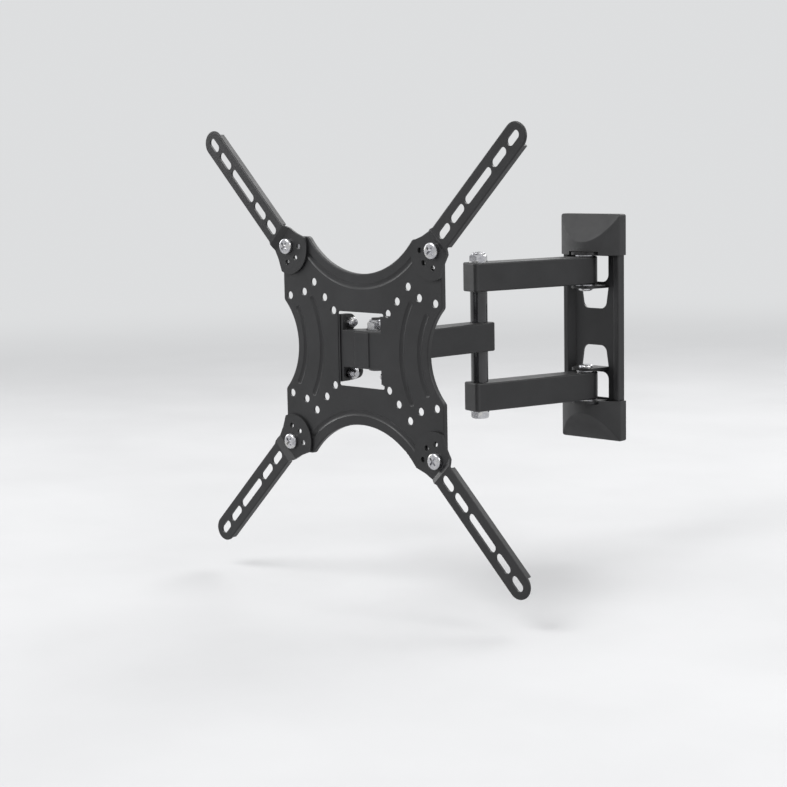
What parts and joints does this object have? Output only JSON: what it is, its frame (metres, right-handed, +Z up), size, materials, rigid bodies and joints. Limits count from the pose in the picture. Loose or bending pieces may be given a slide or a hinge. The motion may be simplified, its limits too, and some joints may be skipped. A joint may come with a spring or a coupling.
{
  "type": "full motion tv wall mount",
  "caption": "Full-motion TV wall mount: hinged double rear arms, single front arm, swivelling and tilting hole-pattern plate with pivoting slotted extension arms.",
  "frame": {"origin": "on the wall plane, on the centreline of the wall plate, at its mid-height", "axes": "+X to the right seen from the room, +Y into the wall, +Z up"},
  "size_m": [0.4349, 0.3232, 0.4348],
  "materials": {
    "black_steel": "satin black powder coat",
    "cover_plastic": "fine matte black moulding",
    "cap_plastic": "matte black moulding",
    "gloss_spacer": "gloss black sleeve",
    "nylon": "plain nylon",
    "zinc": "bright zinc plating"
  },
  "bodies": {
    "wall": {"wall_plate": "black_steel", "cover_top": "cover_plastic", "cover_bottom": "cover_plastic", "hinge_pins": "zinc", "hinge_washers": "zinc"},
    "rear_arms": {"upper_rear_arm": "black_steel", "lower_rear_arm": "black_steel", "rear_arm_end_caps": "cap_plastic", "elbow_bolt": "zinc", "elbow_washers": "zinc", "elbow_nut": "zinc", "elbow_spacers": "gloss_spacer"},
    "front_arm": {"front_arm": "black_steel", "front_arm_end_cap": "cap_plastic"},
    "swivel_head": {"swivel_bracket": "black_steel", "swivel_bolt": "black_steel", "swivel_washer": "zinc", "swivel_nut": "zinc", "swivel_friction_washers": "nylon", "tilt_pivot_bolts": "zinc", "tilt_pivot_nuts": "zinc"},
    "vesa_plate": {"vesa_plate": "black_steel", "tilt_clamp_bolts": "zinc", "tilt_clamp_nuts": "zinc", "arm_pivot_screws": "zinc", "arm_pivot_washers": "zinc", "arm_pivot_nuts": "zinc"},
    "arm_tl": {"extension_arm_tl": "black_steel"},
    "arm_tr": {"extension_arm_tr": "black_steel"},
    "arm_bl": {"extension_arm_bl": "black_steel"},
    "arm_br": {"extension_arm_br": "black_steel"}
  },
  "joints": [
    {"name": "wall_hinge", "type": "hinge", "parent": "wall", "child": "rear_arms", "pos_m": [0, -0.0182, 0], "axis": [0, 0, 1], "range_deg": [-65.5, 94.5]},
    {"name": "elbow", "type": "hinge", "parent": "rear_arms", "child": "front_arm", "pos_m": [-0.03505, -0.15374, 0], "axis": [0, 0, 1], "range_deg": [-99.3, 80.7]},
    {"name": "head_swivel", "type": "hinge", "parent": "front_arm", "child": "swivel_head", "pos_m": [-0.04774, -0.29316, 0], "axis": [0, 0, 1], "range_deg": [-75.2, 64.8]},
    {"name": "head_tilt", "type": "hinge", "parent": "swivel_head", "child": "vesa_plate", "pos_m": [-0.04774, -0.30466, 0.0255], "axis": [1, 0, 0], "range_deg": [-5, 12]},
    {"name": "arm_pivot_tl", "type": "hinge", "parent": "vesa_plate", "child": "arm_tl", "pos_m": [-0.14774, -0.31756, 0.1], "axis": [0, 1, 0], "range_deg": [-15, 15]},
    {"name": "arm_pivot_tr", "type": "hinge", "parent": "vesa_plate", "child": "arm_tr", "pos_m": [0.05226, -0.31756, 0.1], "axis": [0, 1, 0], "range_deg": [-15, 15]},
    {"name": "arm_pivot_bl", "type": "hinge", "parent": "vesa_plate", "child": "arm_bl", "pos_m": [-0.14774, -0.31756, -0.1], "axis": [0, 1, 0], "range_deg": [-15, 15]},
    {"name": "arm_pivot_br", "type": "hinge", "parent": "vesa_plate", "child": "arm_br", "pos_m": [0.05226, -0.31756, -0.1], "axis": [0, 1, 0], "range_deg": [-15, 15]}
  ]
}
